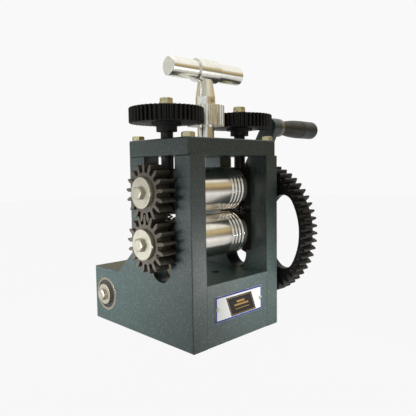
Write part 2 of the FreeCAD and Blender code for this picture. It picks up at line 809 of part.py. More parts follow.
def make_bearings():
    """The two sealed ball bearings that carry the crank shaft in the foot."""
    outer_radius = bearing_diameter / 2
    inner_radius = crank_shaft_diameter / 2 + press_clearance
    ball_circle = (outer_radius + inner_radius) / 2
    track = Part.makeTorus(ball_circle, bearing_ball_diameter / 2 + running_clearance)
    outer_rings = []
    inner_rings = []
    balls = []
    seals = []
    for side in (-1, 1):
        inner_face = side * (half_width - bearing_width)
        outer_face = side * half_width
        groove = track.copy()
        groove.translate(Vector(0, 0, (inner_face + outer_face) / 2))
        outer_ring = ring(inner_face, outer_face, outer_radius, outer_radius - bearing_race_wall)
        inner_ring = ring(inner_face, outer_face, inner_radius + bearing_race_wall, inner_radius)
        outer_rings.append(on_x(outer_ring.cut(groove), crank_y, crank_z))
        inner_rings.append(on_x(inner_ring.cut(groove), crank_y, crank_z))
        for number in range(bearing_ball_count):
            place = polar(ball_circle, 2 * math.pi * number / bearing_ball_count)
            ball = Part.makeSphere(bearing_ball_diameter / 2,
                                   place + Vector(0, 0, (inner_face + outer_face) / 2))
            balls.append(on_x(ball, crank_y, crank_z))
        for face, inward in ((outer_face, -side), (inner_face, side)):
            start = face + inward * bearing_seal_recess
            seal = ring(start, start + inward * bearing_seal_thickness,
                        outer_radius - bearing_race_wall - press_clearance,
                        inner_radius + bearing_race_wall + running_clearance)
            seals.append(on_x(seal, crank_y, crank_z))
    save("bearing_outer_rings", Part.makeCompound(outer_rings))
    save("bearing_inner_rings", Part.makeCompound(inner_rings))
    save("bearing_balls", Part.makeCompound(balls))
    save("bearing_seals", Part.makeCompound(seals))


def link_outline(root_radius, tip_radius, length):
    """The face of a flat arm along local +Y, tangent to a round at each end."""
    lean = math.asin((root_radius - tip_radius) / length)
    right = Vector(math.cos(lean), math.sin(lean), 0)
    left = Vector(-math.cos(lean), math.sin(lean), 0)
    tip_centre = Vector(0, length, 0)
    root_points = [left * root_radius, Vector(0, -root_radius, 0), right * root_radius]
    tip_points = [tip_centre + right * tip_radius, tip_centre + Vector(0, tip_radius, 0),
                  tip_centre + left * tip_radius]
    edges = [Part.Arc(*root_points).toShape(),
             Part.LineSegment(root_points[2], tip_points[0]).toShape(),
             Part.Arc(*tip_points).toShape(),
             Part.LineSegment(tip_points[2], root_points[0]).toShape()]
    return Part.Face(Part.Wire(edges))


def make_crank():
    left_end = -half_width + end_recess
    right_end = arm_hub_end_x - end_recess
    thread_radius = small_bolt / 2 + running_clearance
    keys = [key(drive_x + key_end_gap, drive_end_x - key_end_gap, crank_shaft_diameter / 2),
            key(drive_end_x + key_end_gap, right_end - key_end_gap, crank_shaft_diameter / 2)]
    shape = shaft(left_end, [(right_end, crank_shaft_diameter)], stub_end_break)
    shape = shape.cut([
        key(drive_x, right_end + 1, crank_shaft_diameter / 2, running_clearance),
        rod(left_end - 1, left_end + bolt_engagement + 1, thread_radius),
        rod(right_end - bolt_engagement - 1, right_end + 1, thread_radius),
    ])
    save("crank_shaft", on_x(shape, crank_y, crank_z))
    save("crank_keys", on_x(Part.makeCompound(keys), crank_y, crank_z))

    pinion_tooth = meshing_phase(idler_to_crank_angle, idler_teeth, idler_tooth(),
                                 crank_pinion_teeth)
    pinion = drive_gear(crank_pinion_teeth, pinion_tooth)
    pinion = pinion.fuse(rod(half_width, drive_x, crank_pinion_hub_diameter / 2))
    pinion = pinion.cut(keyed_bore(half_width - 1, drive_end_x + 1, crank_shaft_diameter))
    save("crank_pinion", on_x(pinion, crank_y, crank_z))

    washers = []
    bolts = []
    for face, outward in ((-half_width, -1), (arm_hub_end_x, 1)):
        washer_face = face + outward * crank_washer_thickness
        washers.append(on_x(ring(face, washer_face, crank_washer_diameter / 2,
                                 small_bolt / 2 + washer_clearance), crank_y, crank_z))
        bolts.append(on_x(hex_bolt(washer_face, outward, small_bolt, small_bolt_flats,
                                   small_bolt_head, crank_washer_thickness + bolt_engagement),
                          crank_y, crank_z))
    save("crank_end_washers", Part.makeCompound(washers))
    save("crank_end_bolts", Part.makeCompound(bolts))
    make_crank_arm()


def make_crank_arm():
    arm = link_outline(arm_root_radius, arm_tip_radius, crank_throw)
    arm = arm.extrude(Vector(0, 0, arm_thickness))
    arm.translate(Vector(0, 0, arm_x))
    arm = eased(arm, edge_break, lambda c: True)
    hub = rod(drive_end_x, arm_hub_end_x, arm_hub_diameter / 2)
    boss = rod(arm_x, arm_x + arm_boss_length, arm_tip_radius)
    boss = eased(boss, edge_break, lambda c: c.z > arm_x + arm_boss_length - 0.01)
    boss.translate(Vector(0, crank_throw, 0))
    spindle_hole = rod(arm_x - 1, arm_x + arm_boss_length + 1,
                       spindle_diameter / 2 + running_clearance)
    spindle_hole.translate(Vector(0, crank_throw, 0))
    arm = arm.fuse([hub, boss])
    arm = arm.cut([rod(drive_end_x - 1, arm_hub_end_x + 1,
                       crank_shaft_diameter / 2 + running_clearance), spindle_hole])
    arm.rotate(Vector(0, 0, 0), Vector(0, 0, 1), crank_lean)
    arm = arm.cut(key(drive_end_x - 1, arm_hub_end_x + 1, crank_shaft_diameter / 2,
                      running_clearance))
    save("crank_arm", on_x(arm, crank_y, crank_z))


def make_grip():
    boss_end = arm_x + arm_boss_length
    grip_start = boss_end + grip_standoff
    collar_end = grip_start - sliding_gap
    head_start = collar_end + spindle_length
    spindle = shaft(boss_end - spindle_thread_length,
                    [(boss_end, spindle_diameter), (collar_end, spindle_collar_diameter),
                     (head_start, spindle_diameter),
                     (head_start + spindle_head_length, spindle_head_diameter)],
                    stub_end_break)
    save("grip_spindle", on_x(spindle, grip_y, grip_z))

    grip_end = grip_start + grip_length
    taper_end = grip_start + grip_taper_length
    taper_middle = Vector((grip_neck_radius + grip_radius) / 2 + grip_belly, 0,
                          (grip_start + taper_end) / 2)
    neck = Vector(grip_neck_radius, 0, grip_start)
    shoulder = Vector(grip_radius, 0, taper_end)
    round_start = Vector(grip_radius, 0, grip_end - grip_end_round)
    bevel = grip_end_round * (1 - math.sqrt(0.5))
    round_middle = Vector(grip_radius - bevel, 0, grip_end - bevel)
    round_end = Vector(grip_radius - grip_end_round, 0, grip_end)
    axis_start = Vector(0, 0, grip_start)
    axis_end = Vector(0, 0, grip_end)
    edges = [Part.LineSegment(axis_start, neck).toShape(),
             Part.Arc(neck, taper_middle, shoulder).toShape(),
             Part.LineSegment(shoulder, round_start).toShape(),
             Part.Arc(round_start, round_middle, round_end).toShape(),
             Part.LineSegment(round_end, axis_end).toShape(),
             Part.LineSegment(axis_end, axis_start).toShape()]
    grip = Part.Face(Part.Wire(edges)).revolve(Vector(0, 0, 0), Vector(0, 0, 1), 360)
    bore = rod(grip_start - 1, head_start, spindle_diameter / 2 + running_clearance)
    cavity = rod(head_start - sliding_gap, head_start + spindle_head_length + sliding_gap,
                 spindle_head_diameter / 2 + sliding_gap)
    seam = ring(taper_end - grip_seam_width / 2, taper_end + grip_seam_width / 2,
                grip_radius + 1, grip_radius - grip_seam_depth)
    save("crank_grip", on_x(grip.cut([bore, cavity, seam]), grip_y, grip_z))


def flat_on_seat(start, end, radius):
    """A round seat with one flat, as on a screw's end and in its gear."""
    return rod(start, end, radius).common(
        block((-radius, radius - screw_flat), (-radius, radius), (start, end)))


def screw_gear(first_tooth):
    """An adjusting screw's gear, with its boss and its hub below and above."""
    tip = screw_gear_radius + screw_module
    root = screw_gear_radius - dedendum_share * screw_module
    gear = gear_prism(screw_gear_teeth, screw_gear_radius, tip, root, screw_pressure_angle,
                      screw_tooth_share, first_tooth, screw_gear_z, screw_gear_top)
    blank = turned([(screw_gear_z, tip - screw_gear_chamfer),
                    (screw_gear_z + screw_gear_chamfer, tip + 0.01),
                    (screw_gear_top - screw_gear_chamfer, tip + 0.01),
                    (screw_gear_top, tip - screw_gear_chamfer)])
    recess = ring(screw_gear_top - screw_gear_recess_depth, screw_gear_top + 1,
                  root - screw_gear_rim, screw_gear_hub_diameter / 2)
    boss_z = screw_gear_z - screw_gear_boss_height
    boss = rod(boss_z, screw_gear_z, screw_gear_boss_diameter / 2)
    hub = rod(boss_z - screw_gear_hub_height, boss_z, screw_gear_hub_diameter / 2)
    rise = rod(screw_gear_top - screw_gear_recess_depth, screw_hub_top,
               screw_gear_hub_diameter / 2)
    gear = gear.common(blank).cut(recess).fuse([boss, hub, rise])
    return gear.cut(flat_on_seat(boss_z - screw_gear_hub_height - 1, screw_hub_top + 1,
                                 screw_seat_diameter / 2 + running_clearance))


def make_screws():
    hub_bottom = screw_gear_z - screw_gear_boss_height - screw_gear_hub_height
    seat_end = screw_hub_top - end_recess
    washer_face = screw_hub_top + small_washer_thickness
    left_tooth = meshing_phase(180.0, handle_pinion_teeth, 180.0, screw_gear_teeth)
    right_tooth = meshing_phase(0.0, handle_pinion_teeth, 180.0, screw_gear_teeth)
    for name, side, first_tooth in (("left", -1, left_tooth), ("right", 1, right_tooth)):
        stem = shaft(upper_block_top, [(hub_bottom, screw_diameter)], screw_end_break)
        seat = flat_on_seat(hub_bottom - 1, seat_end, screw_seat_diameter / 2)
        thread = rod(seat_end - bolt_engagement, seat_end + 1, small_bolt / 2 + running_clearance)
        screw = stem.fuse(seat).cut(thread)
        save(name + "_screw", on_z(screw, side * screw_x, roll_y))
        save(name + "_screw_gear", on_z(screw_gear(first_tooth), side * screw_x, roll_y))
        washer = ring(screw_hub_top, washer_face, small_washer_diameter / 2,
                      small_bolt / 2 + washer_clearance)
        bolt = hex_bolt(washer_face, 1, small_bolt, small_bolt_flats, small_bolt_head,
                        small_washer_thickness + bolt_engagement - thread_runout)
        save(name + "_gear_bolt", on_z(Part.makeCompound([bolt, washer]), side * screw_x, roll_y))


def on_bar(shape):
    """Lay a piece along the T-handle's bar."""
    turn = FreeCAD.Rotation(Vector(0, 0, 1), -bar_azimuth)
    return put(shape, Vector(0, roll_y, bar_z), turn.multiply(LAY_ALONG_X))


def make_handle():
    pinion_top = screw_gear_z + handle_pinion_face
    hub_top = pinion_top + handle_pinion_hub_height
    neck_top = hub_top + stem_neck_height
    stem_start = plate_height + end_recess
    clip_start = (plate_height + stem_clip_recess_depth - sliding_gap - clip_thickness
                  - 2 * running_clearance)
    sleeve_radius = bar_diameter / 2 + running_clearance + sleeve_wall
    pin_top = bar_z + sleeve_radius
    pin_bottom = bar_z - sleeve_radius - handle_pin_depth
    pin_hole = on_z(rod(pin_bottom - end_recess, pin_top + 1,
                        handle_pin_diameter / 2 + press_clearance), 0, roll_y)
    grub_height = pinion_top + handle_pinion_hub_height / 2
    grub_reach = handle_pinion_hub_diameter / 2
    grub_start = stem_diameter / 2 - grub_dimple_depth
    grub_hole = toward_front(rod(grub_start, grub_reach + 1,
                                 grub_diameter / 2 + press_clearance), 0, roll_y, grub_height)

    stem = turned([
        (stem_start, stem_journal_diameter / 2 - stub_end_break),
        (stem_start + stub_end_break, stem_journal_diameter / 2),
        (top_plate_top, stem_journal_diameter / 2), (top_plate_top, stem_diameter / 2),
        (hub_top, stem_diameter / 2), (hub_top, handle_pinion_hub_diameter / 2),
        (neck_top, stem_neck_diameter / 2),
    ])
    stem = stem.cut(clip_groove(clip_start, stem_journal_diameter))
    stem = on_z(stem, 0, roll_y)
    sleeve_space = on_bar(rod(-sleeve_length, sleeve_length, sleeve_radius))
    save("handle_stem", stem.cut([sleeve_space, pin_hole, grub_hole]))
    save("stem_clip", on_z(clip(clip_start, stem_journal_diameter), 0, roll_y))

    root = handle_pinion_radius - dedendum_share * screw_module
    pinion = gear_prism(handle_pinion_teeth, handle_pinion_radius,
                        handle_pinion_radius + screw_module, root, screw_pressure_angle,
                        screw_tooth_share, 180.0, screw_gear_z, pinion_top)
    pinion = pinion.fuse(rod(pinion_top, hub_top, handle_pinion_hub_diameter / 2))
    pinion = pinion.cut(rod(screw_gear_z - 1, hub_top + 1, stem_diameter / 2 + press_clearance))
    save("handle_pinion", on_z(pinion, 0, roll_y).cut(grub_hole))
    grub = rod(grub_start + running_clearance, grub_reach - grub_recess, grub_diameter / 2)
    save("pinion_grub_screw", toward_front(grub, 0, roll_y, grub_height))

    sleeve = ring(-sleeve_length / 2, sleeve_length / 2, sleeve_radius,
                  bar_diameter / 2 + running_clearance)
    save("handle_sleeve", on_bar(sleeve).cut(pin_hole))
    bar = shaft(-bar_length / 2, [(bar_length / 2, bar_diameter)], bar_end_break)
    save("handle_bar", on_bar(bar).cut(pin_hole))
    save("handle_pin", on_z(rod(pin_bottom, pin_top, handle_pin_diameter / 2), 0, roll_y))


make_housing()
make_name_plate()
make_blocks()
make_rolls()
make_idler()
make_bearings()
make_crank()
make_grip()
make_screws()
make_handle()
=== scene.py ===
# %% [markdown]
# # A jewellers' rolling mill
#
# A hand mill squeezes a strip of metal between two polished rolls. The solids come from
# CAD and already have the right shape and size, so this lesson is about what makes them
# look real: the finish of each metal, a few small things that CAD leaves out, a camera
# and soft light. The CAD model is loaded as a fixed frame. Each of its nodes stays where
# it is, and a helper can fasten a new piece to one of its bodies so that it moves with it.

# %% Load the imported model
import json
import math

import bmesh
import bpy
from mathutils import Matrix, Vector


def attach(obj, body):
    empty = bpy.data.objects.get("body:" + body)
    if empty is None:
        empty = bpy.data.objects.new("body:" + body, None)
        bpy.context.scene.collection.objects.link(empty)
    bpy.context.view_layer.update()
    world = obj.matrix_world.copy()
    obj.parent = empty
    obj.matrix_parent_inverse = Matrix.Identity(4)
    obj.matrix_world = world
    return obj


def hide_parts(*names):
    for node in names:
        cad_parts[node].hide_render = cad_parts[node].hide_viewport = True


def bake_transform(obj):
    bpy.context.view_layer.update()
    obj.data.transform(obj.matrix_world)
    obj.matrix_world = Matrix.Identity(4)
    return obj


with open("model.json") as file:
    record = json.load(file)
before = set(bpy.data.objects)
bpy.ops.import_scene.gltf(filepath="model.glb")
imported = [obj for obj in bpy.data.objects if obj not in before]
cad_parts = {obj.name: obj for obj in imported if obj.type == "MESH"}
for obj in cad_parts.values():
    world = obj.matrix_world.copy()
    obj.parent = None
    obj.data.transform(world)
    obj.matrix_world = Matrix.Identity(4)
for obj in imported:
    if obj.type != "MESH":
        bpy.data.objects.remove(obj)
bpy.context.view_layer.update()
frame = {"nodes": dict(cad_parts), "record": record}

# %% [markdown]
# Blender works in metres here and a maker thinks in millimetres, so one constant turns
# the one into the other. Colours are easiest to judge as the eight bit values of a
# picture, but a shader wants linear light, so a small helper converts them.

# %% Units and colours
MM = 0.001


def srgb(red, green, blue):
    """Linear RGBA from the 0 to 255 values that a picture viewer shows."""
    def linear(value):
        value /= 255
        return value / 12.92 if value <= 0.04045 else ((value + 0.055) / 1.055) ** 2.4
    return (linear(red), linear(green), linear(blue), 1.0)


print("mid grey in linear light:", round(srgb(128, 128, 128)[0], 3))

# %% [markdown]
# ## The camera
#
# The camera stands left of the front corner, a little above the rolls, and looks slightly
# down. Its place and its three angles describe that completely. They could be typed in as
# Euler angles, but building the three directions by hand shows what they mean: forward,
# right and down, with a small roll about the line of sight.

# %% Camera at the photograph's place
camera_place = Vector((-295.72, -335.67, 147.55)) * MM
yaw, pitch, roll = (math.radians(angle) for angle in (45.485, 4.821, -0.799))
focal_length_in_pixels, picture_side, sensor = 462.8, 416, 36.0

forward = Vector((math.cos(yaw) * math.cos(pitch), math.sin(yaw) * math.cos(pitch),
                  -math.sin(pitch)))
right = Vector((math.sin(yaw), -math.cos(yaw), 0))
down = forward.cross(right)
picture_right = math.cos(roll) * right - math.sin(roll) * down
picture_down = math.sin(roll) * right + math.cos(roll) * down

camera = bpy.data.objects.new("camera", bpy.data.cameras.new("camera"))
bpy.context.scene.collection.objects.link(camera)
turn = Matrix((picture_right, -picture_down, -forward)).transposed()
camera.matrix_world = Matrix.Translation(camera_place) @ turn.to_4x4()
camera.data.sensor_width = sensor
camera.data.lens = focal_length_in_pixels / picture_side * sensor
camera.data.clip_start = 0.01
bpy.context.scene.camera = camera
print("lens", round(camera.data.lens, 2), "mm")

# %% [markdown]
# ## A way to write shaders
#
# A material is a graph of nodes, and a graph is long to write node by node. Two small
# classes make it read like a formula. `Wire` stands for the value that comes out of a
# node, and Python's own operators on it add Math nodes. `Nodes` makes any other node from
# its type, its settings and what goes into its sockets. Colours are mixed with Mix nodes,
# because a Math node would turn them grey.

# %% Wires and nodes
class Wire:
    """A value in a shader. Arithmetic on it adds Math nodes."""

    def __init__(self, nodes, socket):
        self.nodes, self.socket = nodes, socket

    def join(self, operation, first, second):
        return self.nodes.add("ShaderNodeMath", {"operation": operation}, {0: first, 1: second})

    def __add__(self, other):
        return self.join("ADD", self, other)

    def __sub__(self, other):
        return self.join("SUBTRACT", self, other)

    def __rsub__(self, other):
        return self.join("SUBTRACT", other, self)

    def __mul__(self, other):
        return self.join("MULTIPLY", self, other)

    def __gt__(self, other):
        return self.join("GREATER_THAN", self, other)

    def __lt__(self, other):
        return self.join("LESS_THAN", self, other)

    def __abs__(self):
        return self.nodes.add("ShaderNodeMath", {"operation": "ABSOLUTE"}, {0: self})

    __radd__ = __add__
    __rmul__ = __mul__


class Nodes:
    """A node tree that is filled by short calls."""

    def __init__(self, tree):
        self.tree = tree

    def add(self, kind, settings=None, sockets=None, output=0):
        node = self.tree.nodes.new(kind)
        for name, value in (settings or {}).items():
            if name == "stops":
                for at, (position, colour) in enumerate(value):
                    stop = (node.color_ramp.elements[at] if at < 2
                            else node.color_ramp.elements.new(position))
                    stop.position, stop.color = position, colour
            else:
                setattr(node, name, value)
        for name, value in (sockets or {}).items():
            self.plug(node.inputs[name], value)
        return Wire(self, node.outputs[output])

    def plug(self, socket, value):
        if isinstance(value, Wire):
            self.tree.links.new(value.socket, socket)
        else:
            socket.default_value = value


print("shader helpers ready")

# %% [markdown]
# A finish is a Principled shader and a few helpers that every metal here needs: noise at
# a size given in millimetres, a blend of two colours, a bump, and a mask of the edges.
# The edge mask compares the true normal with the normal of a rounded copy of the edge,
# which the Bevel node finds, so it is bright only along corners. The same node goes under
# every bump, because no machined corner is perfectly sharp and a corner that catches a
# little light is what makes it look solid. Patterns read Object coordinates, which are
# real metres here, so a scratch has its real size on every piece.

# %% The finish class
class Finish(Nodes):
    """A material with one Principled shader."""

    def __init__(self, name, metallic=0.0, roughness=0.5, **constants):
        self.material = bpy.data.materials.new(name)
        self.material.use_nodes = True
        super().__init__(self.material.node_tree)
        self.shader = self.tree.nodes["Principled BSDF"]
        self.shader.inputs["Metallic"].default_value = metallic
        self.shader.inputs["Roughness"].default_value = roughness
        for socket, value in constants.items():
            self.shader.inputs[socket.replace("_", " ")].default_value = value
        self.place = self.add("ShaderNodeTexCoord", output="Object")

    def stretched(self, along_x, along_y, along_z, centre=(0, 0, 0)):
        """Coordinates for a pattern that is drawn out along an axis."""
        moved = self.add("ShaderNodeVectorMath", {"operation": "SUBTRACT"},
                         {0: self.place, 1: Vector(centre) * MM})
        return self.add("ShaderNodeVectorMath", {"operation": "DIVIDE"},
                        {0: moved, 1: (along_x, along_y, along_z)})

    def noise(self, size, detail=2.0, place=None, roughness=0.5):
        """Noise with grains of this size in millimetres, from 0 to 1."""
        return self.add("ShaderNodeTexNoise", {}, {
            "Vector": place or self.place, "Scale": 1 / (size * MM),
            "Detail": detail, "Roughness": roughness})

    def blend(self, mask, first, second):
        """The first colour where the mask is 0 and the second where it is 1."""
        return self.add("ShaderNodeMix", {"data_type": "RGBA"},
                        {0: mask, 6: first, 7: second}, output=2)

    def steps(self, value, low, high):
        """The value stretched so that low becomes 0 and high becomes 1."""
        return self.add("ShaderNodeMapRange", {}, {
            "Value": value, "From Min": low, "From Max": high})

    def edges(self, radius=0.5, gain=5.0):
        """1 along sharp edges and 0 a little way from them; the radius is in mm."""
        rounded = self.add("ShaderNodeBevel", {"samples": 4}, {"Radius": radius * MM})
        true = self.add("ShaderNodeNewGeometry", output="Normal")
        match = self.add("ShaderNodeVectorMath", {"operation": "DOT_PRODUCT"},
                         {0: rounded, 1: true}, output="Value")
        return self.steps(1 - match, 0.02, 1 / gain)

    def paint(self, colour=None, roughness=None, height=None, depth=0.02, corner=0.3):
        """Connect what varies. The height field is scaled to a depth in millimetres, and
        corners catch the light as if they were broken to the radius given as corner."""
        if colour is not None:
            self.plug(self.shader.inputs["Base Color"], colour)
        if roughness is not None:
            self.plug(self.shader.inputs["Roughness"], roughness)
        if height is not None:
            broken = self.add("ShaderNodeBevel", {"samples": 6}, {"Radius": corner * MM})
            bump = self.add("ShaderNodeBump", {}, {"Height": height, "Distance": depth * MM,
                                                   "Strength": 1.0, "Normal": broken})
            self.plug(self.shader.inputs["Normal"], bump)
        return self.material


finishes = {}
print("finish class ready")

# %% [markdown]
# ## Slate enamel
#
# The housing, the crank arm and the covers are sprayed with a slate grey enamel. Sprayed
# enamel is never a flat colour: it has a fine speckle and an orange peel skin, whose
# lighter tops are a painted highlight, and it rubs thin along edges, where a lighter line
# is that wear and also a painted highlight. A photograph could be projected on it, but
# noise works at any distance and from every side. The arm takes a second enamel with a
# lighter, partly metallic tan band round the end of its boss, whose warm tone is a painted
# reflection.

# %% Enamel on the housing
def sprayed_enamel(name, painted_reflection_band=None):
    """The enamel; an optional pair of x values in mm bounds a lighter, partly metallic tan band
    whose warm tone is a painted reflection.
    """
    enamel = Finish(name, Specular_IOR_Level=0.75)
    pores = enamel.noise(0.9, detail=2)
    peel = enamel.noise(1.7, detail=2)
    patches = enamel.noise(35, detail=2)
    slate = enamel.blend(enamel.steps(pores, 0.38, 0.6), srgb(24, 42, 43), srgb(56, 77, 74))
    # Lighter tops of the orange peel: a painted highlight.
    slate = enamel.blend(enamel.steps(peel, 0.54, 0.66) * 0.55, slate, srgb(92, 108, 105))
    slate = enamel.blend(enamel.steps(patches, 0.4, 0.75) * 0.2, slate, srgb(66, 84, 82))
    # A lighter line along edges, broken by noise: edge wear and also a painted highlight.
    rubbed_and_edge_highlight = enamel.edges(0.6) * enamel.steps(enamel.noise(3), 0.35, 0.6)
    slate = enamel.blend(rubbed_and_edge_highlight * 0.3, slate, srgb(140, 148, 143))
    gloss = 0.22 + 0.22 * pores
    if painted_reflection_band:
        split = enamel.tree.nodes.new("ShaderNodeSeparateXYZ")
        enamel.plug(split.inputs[0], enamel.place)
        along = Wire(enamel, split.outputs[0])
        # A lighter, partly metallic tan band; its warm tone is a painted reflection.
        turned = (along > painted_reflection_band[0] * MM) * (along < painted_reflection_band[1] * MM)
        slate = enamel.blend(turned, slate, srgb(132, 126, 112))
        enamel.plug(enamel.shader.inputs["Metallic"], turned * 0.6)
    return enamel.paint(slate, gloss, peel + 0.5 * pores, 0.2)


finishes["paint"] = sprayed_enamel("slate_enamel")
# x limits in mm of the tan boss band, whose warm tone is a painted reflection.
boss_painted_reflection_band = (96.6, 103.0)
arm_paint = sprayed_enamel("slate_enamel_with_painted_boss_reflection", painted_reflection_band=boss_painted_reflection_band)
print("enamels", finishes["paint"].name, arm_paint.name)

# %% [markdown]
# ## Polished and ground steel
#
# The rolls are hardened, ground and lapped, and they are the brightest thing on the mill.
# Their colour comes nearly all from what they reflect, so the shader is a smooth metal.
# The grinding wheel leaves hair lines round the roll, which means noise that changes along
# X alone. A wave texture could draw such lines too, but it repeats and noise doesn't.

# %% Rolls, springs and bearing rings
def ground_steel(name, light, dark, roughness, line=0.35, axis_stretch=(1, 400, 400)):
    steel = Finish(name, metallic=1.0)
    lines = steel.noise(line, detail=3, place=steel.stretched(*axis_stretch))
    cloud = steel.noise(9, detail=2)
    colour = steel.blend(steel.steps(lines, 0.3, 0.7) * 0.5, light, dark)
    colour = steel.blend(steel.steps(cloud, 0.45, 0.7) * 0.3, colour, dark)
    return steel.paint(colour, roughness + 0.07 * lines + 0.05 * cloud, lines, 0.003)


finishes["roll_steel"] = ground_steel("polished_roll_steel", srgb(247, 244, 238),
                                      srgb(226, 220, 208), 0.13)
finishes["spring_steel"] = ground_steel("bright_spring_wire", srgb(170, 170, 168),
                                        srgb(120, 120, 118), 0.2)
finishes["bearing_steel"] = ground_steel("bearing_ring_steel", srgb(196, 186, 170),
                                         srgb(150, 140, 124), 0.2)
finishes["key_steel"] = ground_steel("bright_key_steel", srgb(200, 198, 190),
                                     srgb(160, 158, 150), 0.28, axis_stretch=(400, 1, 1))
finishes["shaft_steel"] = ground_steel("turned_shaft_steel", srgb(196, 194, 186),
                                       srgb(150, 148, 140), 0.24)
print("ground steels", 5)

# %% [markdown]
# ## Satin steel of the large washers and bolts
#
# The washers and hexagon bolts on the gears are a warm off white satin. They come out of
# a tumbling drum, which rounds their corners and leaves a fine uneven grain with no
# direction. Plain noise in the bump, the roughness and the colour gives that grain.

# %% Washers and bolts
satin = Finish("satin_steel", metallic=1.0)
grain = satin.noise(0.8, detail=3)
cloud = satin.noise(4, detail=2)
rubbed_and_edge_highlight = satin.edges(0.4)
shade = satin.blend(satin.steps(grain, 0.3, 0.7), srgb(178, 174, 158), srgb(214, 210, 196))
shade = satin.blend(satin.steps(cloud, 0.5, 0.8) * 0.5, shade, srgb(158, 151, 132))
# Lighter edges: corners rounded in the drum and also a painted highlight.
shade = satin.blend(rubbed_and_edge_highlight * 0.5, shade, srgb(236, 234, 224))
finishes["satin_steel"] = satin.paint(shade, 0.28 + 0.16 * grain, grain, 0.03)
print("satin steel")

# %% [markdown]
# ## Yellow zinc
#
# The bolts of the top plate and of the two screw gears are zinc plated with a pale yellow
# passivate. That film is thinner in some places than in others, so its colour wanders
# between straw and green. A colour ramp over slow noise gives that in one node.

# %% Yellow zinc bolts
zinc = Finish("yellow_zinc", metallic=1.0)
film = zinc.add("ShaderNodeValToRGB", {"stops": [
    (0.3, srgb(190, 184, 142)), (0.7, srgb(192, 190, 154)), (0.5, srgb(214, 208, 170))]},
    {"Fac": zinc.noise(2.5, detail=3)})
zinc_grain = zinc.noise(0.2, detail=2)
# Lighter edges: wear and also a painted highlight.
film = zinc.blend(zinc.edges(0.3) * 0.5, film, srgb(232, 230, 212))
finishes["zinc"] = zinc.paint(film, 0.26 + 0.14 * zinc_grain, zinc_grain, 0.004)
print("yellow zinc")

# %% [markdown]
# ## Dark gears and blackened iron
#
# The two long toothed gears are phosphated, which gives a matt brown grey skin. The screw
# gears, the big gear and the bearing blocks are blacker. All of them carry a trace of oil
# and show bare metal where teeth rub, which is where the edge mask is used again: it
# lightens the colour along edges, which stands for that wear and is also a painted highlight.

# %% Gears and blocks
def dark_iron(name, low, high, worn_and_highlight, roughness, metal=0.6, wear_and_highlight=0.7, radius=0.5):
    iron = Finish(name, metallic=metal)
    skin = iron.noise(1.2, detail=4)
    oil = iron.noise(12, detail=2)
    colour = iron.blend(iron.steps(skin, 0.3, 0.7), low, high)
    # Lighter edges where teeth rub: bare metal wear and also a painted highlight.
    rubbed_and_edge_highlight = iron.edges(radius) * iron.steps(iron.noise(2), 0.25, 0.6)
    colour = iron.blend(rubbed_and_edge_highlight * wear_and_highlight, colour, worn_and_highlight)
    gloss = roughness + 0.14 * skin - 0.16 * iron.steps(oil, 0.45, 0.7)
    return iron.paint(colour, gloss, skin, 0.015)


finishes["gear_iron"] = dark_iron("phosphated_gear", srgb(84, 78, 71), srgb(108, 101, 91),
                                  srgb(160, 152, 138), 0.5, metal=0.35)
finishes["dark_gear"] = dark_iron("blackened_gear", srgb(19, 18, 18), srgb(34, 32, 30),
                                  srgb(104, 100, 92), 0.46, metal=0.35)
finishes["block_iron"] = dark_iron("blackened_block", srgb(26, 24, 20), srgb(42, 38, 32),
                                   srgb(88, 82, 72), 0.5, metal=0.35)
finishes["black_oxide"] = dark_iron("black_oxide", srgb(14, 14, 14), srgb(26, 25, 25),
                                    srgb(104, 101, 95), 0.46, metal=0.3, radius=0.35)
print("dark irons", 4)

# %% [markdown]
# ## Bright nickel
#
# The T-handle is plated with bright nickel over turned steel. The lathe marks under the
# plate run round the bar, which lies along X, so the noise for them changes along X and is
# drawn out across it. The plate is a little uneven, which softens what it reflects.

# %% Nickel on the T-handle
nickel = Finish("bright_nickel", metallic=1.0)
handling = nickel.noise(5, detail=3)
round_bar = nickel.noise(0.55, detail=3, place=nickel.stretched(1, 40, 40))
nickel_tone = nickel.blend(nickel.steps(handling, 0.4, 0.7) * 0.4, srgb(250, 249, 243),
                           srgb(226, 223, 208))
nickel_tone = nickel.blend(nickel.steps(round_bar, 0.5, 0.75) * 0.35, nickel_tone,
                           srgb(196, 192, 172))
finishes["nickel"] = nickel.paint(nickel_tone, 0.1 + 0.14 * handling + 0.12 * round_bar,
                                  round_bar + 0.5 * handling, 0.02)
print("bright nickel")

# %% [markdown]
# ## Bronze, brass, rubber and plastic
#
# The bushes are bronze, the name plate's rivets a pale alloy, the bearing seals rubber
# and the grip a dark moulded plastic. The plastic has a spark eroded texture from its
# mould, which is a fine even bump, and it shines more where hands have polished it. The
# grip's part in front of a seam is browner.

# %% Small finishes
def cast_alloy(name, light, dark, roughness):
    alloy = Finish(name, metallic=1.0)
    tarnish = alloy.noise(3, detail=4)
    tone = alloy.blend(alloy.steps(tarnish, 0.35, 0.7), light, dark)
    return alloy.paint(tone, roughness + 0.15 * tarnish, tarnish, 0.006)


def moulded(name, light, dark, roughness, texture, depth, front=None):
    """A moulded skin; front is an x in mm and the tone of the part before it."""
    plastic = Finish(name)
    skin = plastic.noise(texture, detail=2)
    handled = plastic.noise(14, detail=2)
    tone = plastic.blend(plastic.steps(handled, 0.35, 0.7), dark, light)
    if front:
        split = plastic.tree.nodes.new("ShaderNodeSeparateXYZ")
        plastic.plug(split.inputs[0], plastic.place)
        tone = plastic.blend((Wire(plastic, split.outputs[0]) < front[0] * MM) * 0.85,
                             tone, front[1])
    return plastic.paint(tone, roughness + 0.12 * skin - 0.14 * plastic.steps(handled, 0.4, 0.7),
                         skin, depth)


